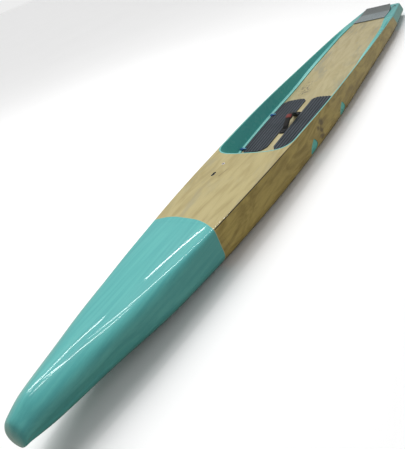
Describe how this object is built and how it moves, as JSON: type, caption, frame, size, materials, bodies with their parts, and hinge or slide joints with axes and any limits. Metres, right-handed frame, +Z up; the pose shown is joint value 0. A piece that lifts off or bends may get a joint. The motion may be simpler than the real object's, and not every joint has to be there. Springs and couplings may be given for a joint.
{
  "type": "race paddleboard",
  "caption": "Long narrow stand-up race board with a recessed cockpit, foot pads, carrying handle, tail pad and fin box",
  "frame": {"origin": "centre of the board's bounding box, on the floor under its bottom", "axes": "+X towards the nose, +Y to port, +Z up"},
  "size_m": [4.267, 0.547, 0.208],
  "materials": {
    "teal_paint": "glossy light teal paint under clear coat",
    "deck_veneer": "pale wood veneer under satin clear coat",
    "rail_veneer": "darker wood veneer under satin clear coat",
    "bottom_veneer": "wood veneer under gloss clear coat",
    "pad_foam": "grooved charcoal foam",
    "tail_foam": "grey foam with a raised darker rear band",
    "black_webbing": "black padded webbing",
    "red_patch": "dull red cloth patch, bare",
    "blue_plastic": "blue moulded plastic",
    "black_plastic": "black moulded plastic",
    "pale_plastic": "pale moulded plastic"
  },
  "bodies": {
    "root": {"nose_section": "teal_paint", "hull_bottom": "bottom_veneer", "foredeck": "deck_veneer", "tail_deck": "teal_paint", "rail_port": "rail_veneer", "rail_starboard": "rail_veneer", "cockpit_floor": "deck_veneer", "front_liner": "teal_paint", "liner_port": "teal_paint", "liner_starboard": "teal_paint", "foot_pad_port": "pad_foam", "foot_pad_starboard": "pad_foam", "tail_pad": "tail_foam", "handle_strap": "black_webbing", "handle_patch": "red_patch", "handle_anchor_front": "black_plastic", "handle_anchor_rear": "black_plastic", "vent_plug": "pale_plastic", "deck_plug": "black_plastic", "leash_plug": "pale_plastic", "drain_plug_port_front": "blue_plastic", "drain_plug_port_rear": "blue_plastic", "drain_plug_starboard_front": "blue_plastic", "drain_plug_starboard_rear": "blue_plastic", "drain_outlet_port_front": "teal_paint", "drain_outlet_port_rear": "teal_paint", "drain_outlet_starboard_front": "teal_paint", "drain_outlet_starboard_rear": "teal_paint", "fin_box": "black_plastic"}
  },
  "joints": []
}
